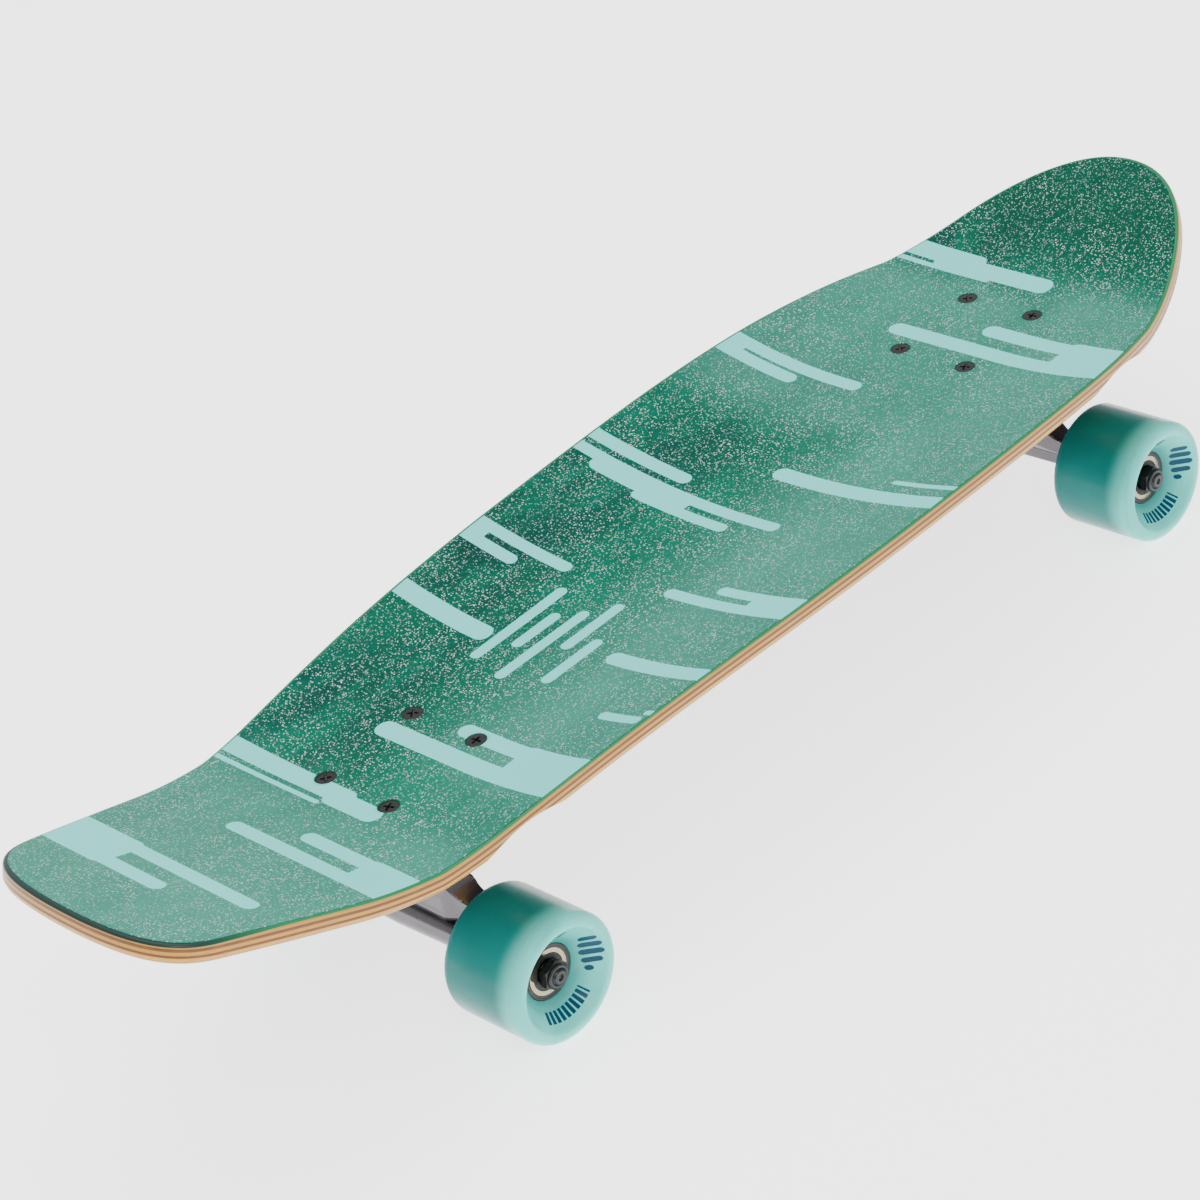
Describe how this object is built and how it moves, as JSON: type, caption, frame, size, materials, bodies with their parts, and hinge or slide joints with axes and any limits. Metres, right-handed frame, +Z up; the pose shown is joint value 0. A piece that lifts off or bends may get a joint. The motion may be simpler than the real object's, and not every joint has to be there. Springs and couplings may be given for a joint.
{
  "type": "skateboard",
  "caption": "Short cruiser skateboard with a concave kick-tail deck, spring-bushed steering trucks and wide soft wheels on ball bearings.",
  "frame": {"origin": "on the ground under the middle of the board's length and width", "axes": "+X towards the nose, +Y to the left when facing the nose, +Z up"},
  "size_m": [0.7245, 0.2012, 0.1469],
  "materials": {
    "deck_wood": "satin",
    "grip": "gritty",
    "urethane": "gloss",
    "core_plastic": "satin",
    "bushing": "satin",
    "riser": "matte",
    "cup_plastic": "matte",
    "cast_metal": "polished",
    "cage_plastic": "satin",
    "bearing_steel": "polished",
    "washer_steel": "plated",
    "black_steel": "satin"
  },
  "bodies": {
    "board": {"deck": "deck_wood", "grip_sheet": "grip", "front_bolts": "black_steel", "rear_bolts": "black_steel", "front_bolt_nuts": "black_steel", "rear_bolt_nuts": "black_steel", "front_riser_pad": "riser", "front_baseplate": "cast_metal", "front_kingpin": "black_steel", "front_kingpin_nut": "black_steel", "front_board_washer": "washer_steel", "front_road_washer": "washer_steel", "front_board_bushing": "bushing", "front_road_bushing": "bushing", "front_pivot_cup": "cup_plastic", "rear_riser_pad": "riser", "rear_baseplate": "cast_metal", "rear_kingpin": "black_steel", "rear_kingpin_nut": "black_steel", "rear_board_washer": "washer_steel", "rear_road_washer": "washer_steel", "rear_board_bushing": "bushing", "rear_road_bushing": "bushing", "rear_pivot_cup": "cup_plastic"},
    "front_truck": {"front_hanger": "cast_metal", "front_axle": "black_steel", "front_axle_nuts": "black_steel", "front_speed_washers": "washer_steel", "front_bearing_spacers": "bearing_steel", "front_bearing_inner_rings": "bearing_steel"},
    "rear_truck": {"rear_hanger": "cast_metal", "rear_axle": "black_steel", "rear_axle_nuts": "black_steel", "rear_speed_washers": "washer_steel", "rear_bearing_spacers": "bearing_steel", "rear_bearing_inner_rings": "bearing_steel"},
    "front_left_wheel": {"front_left_tyre": "urethane", "front_left_core": "core_plastic", "front_left_bearing_outer_rings": "bearing_steel", "front_left_bearing_shields": "bearing_steel"},
    "front_right_wheel": {"front_right_tyre": "urethane", "front_right_core": "core_plastic", "front_right_bearing_outer_rings": "bearing_steel", "front_right_bearing_shields": "bearing_steel"},
    "rear_left_wheel": {"rear_left_tyre": "urethane", "rear_left_core": "core_plastic", "rear_left_bearing_outer_rings": "bearing_steel", "rear_left_bearing_shields": "bearing_steel"},
    "rear_right_wheel": {"rear_right_tyre": "urethane", "rear_right_core": "core_plastic", "rear_right_bearing_outer_rings": "bearing_steel", "rear_right_bearing_shields": "bearing_steel"},
    "front_left_ball_sets": {"front_left_bearing_balls": "bearing_steel", "front_left_bearing_cages": "cage_plastic"},
    "front_right_ball_sets": {"front_right_bearing_balls": "bearing_steel", "front_right_bearing_cages": "cage_plastic"},
    "rear_left_ball_sets": {"rear_left_bearing_balls": "bearing_steel", "rear_left_bearing_cages": "cage_plastic"},
    "rear_right_ball_sets": {"rear_right_bearing_balls": "bearing_steel", "rear_right_bearing_cages": "cage_plastic"}
  },
  "joints": [
    {"name": "front_truck_steer", "type": "hinge", "parent": "board", "child": "front_truck", "pos_m": [0.21355, 0, 0.05], "axis": [0.8904, 0, 0.4551], "range_deg": [-16, 16], "stiffness_Nm_per_rad": 30, "deforming": ["front_board_bushing", "front_road_bushing"]},
    {"name": "rear_truck_steer", "type": "hinge", "parent": "board", "child": "rear_truck", "pos_m": [-0.17495, 0, 0.05], "axis": [-0.8904, 0, 0.4551], "range_deg": [-16, 16], "stiffness_Nm_per_rad": 30, "deforming": ["rear_board_bushing", "rear_road_bushing"]},
    {"name": "front_left_wheel_spin", "type": "hinge", "parent": "front_truck", "child": "front_left_wheel", "pos_m": [0.23535, 0.0767, 0.03065], "axis": [0, 1, 0], "continuous": true},
    {"name": "front_right_wheel_spin", "type": "hinge", "parent": "front_truck", "child": "front_right_wheel", "pos_m": [0.23535, -0.0767, 0.03065], "axis": [0, 1, 0], "continuous": true},
    {"name": "rear_left_wheel_spin", "type": "hinge", "parent": "rear_truck", "child": "rear_left_wheel", "pos_m": [-0.19675, 0.0767, 0.03065], "axis": [0, 1, 0], "continuous": true},
    {"name": "rear_right_wheel_spin", "type": "hinge", "parent": "rear_truck", "child": "rear_right_wheel", "pos_m": [-0.19675, -0.0767, 0.03065], "axis": [0, 1, 0], "continuous": true},
    {"name": "front_left_ball_sets_orbit", "type": "hinge", "parent": "front_truck", "child": "front_left_ball_sets", "pos_m": [0.23535, 0.0767, 0.03065], "axis": [0, 1, 0], "continuous": true},
    {"name": "front_right_ball_sets_orbit", "type": "hinge", "parent": "front_truck", "child": "front_right_ball_sets", "pos_m": [0.23535, -0.0767, 0.03065], "axis": [0, 1, 0], "continuous": true},
    {"name": "rear_left_ball_sets_orbit", "type": "hinge", "parent": "rear_truck", "child": "rear_left_ball_sets", "pos_m": [-0.19675, 0.0767, 0.03065], "axis": [0, 1, 0], "continuous": true},
    {"name": "rear_right_ball_sets_orbit", "type": "hinge", "parent": "rear_truck", "child": "rear_right_ball_sets", "pos_m": [-0.19675, -0.0767, 0.03065], "axis": [0, 1, 0], "continuous": true}
  ],
  "couplings": [
    {"joint": "front_left_ball_sets_orbit", "follows": "front_left_wheel_spin", "ratio": 0.6323},
    {"joint": "front_right_ball_sets_orbit", "follows": "front_right_wheel_spin", "ratio": 0.6323},
    {"joint": "rear_left_ball_sets_orbit", "follows": "rear_left_wheel_spin", "ratio": 0.6323},
    {"joint": "rear_right_ball_sets_orbit", "follows": "rear_right_wheel_spin", "ratio": 0.6323}
  ]
}
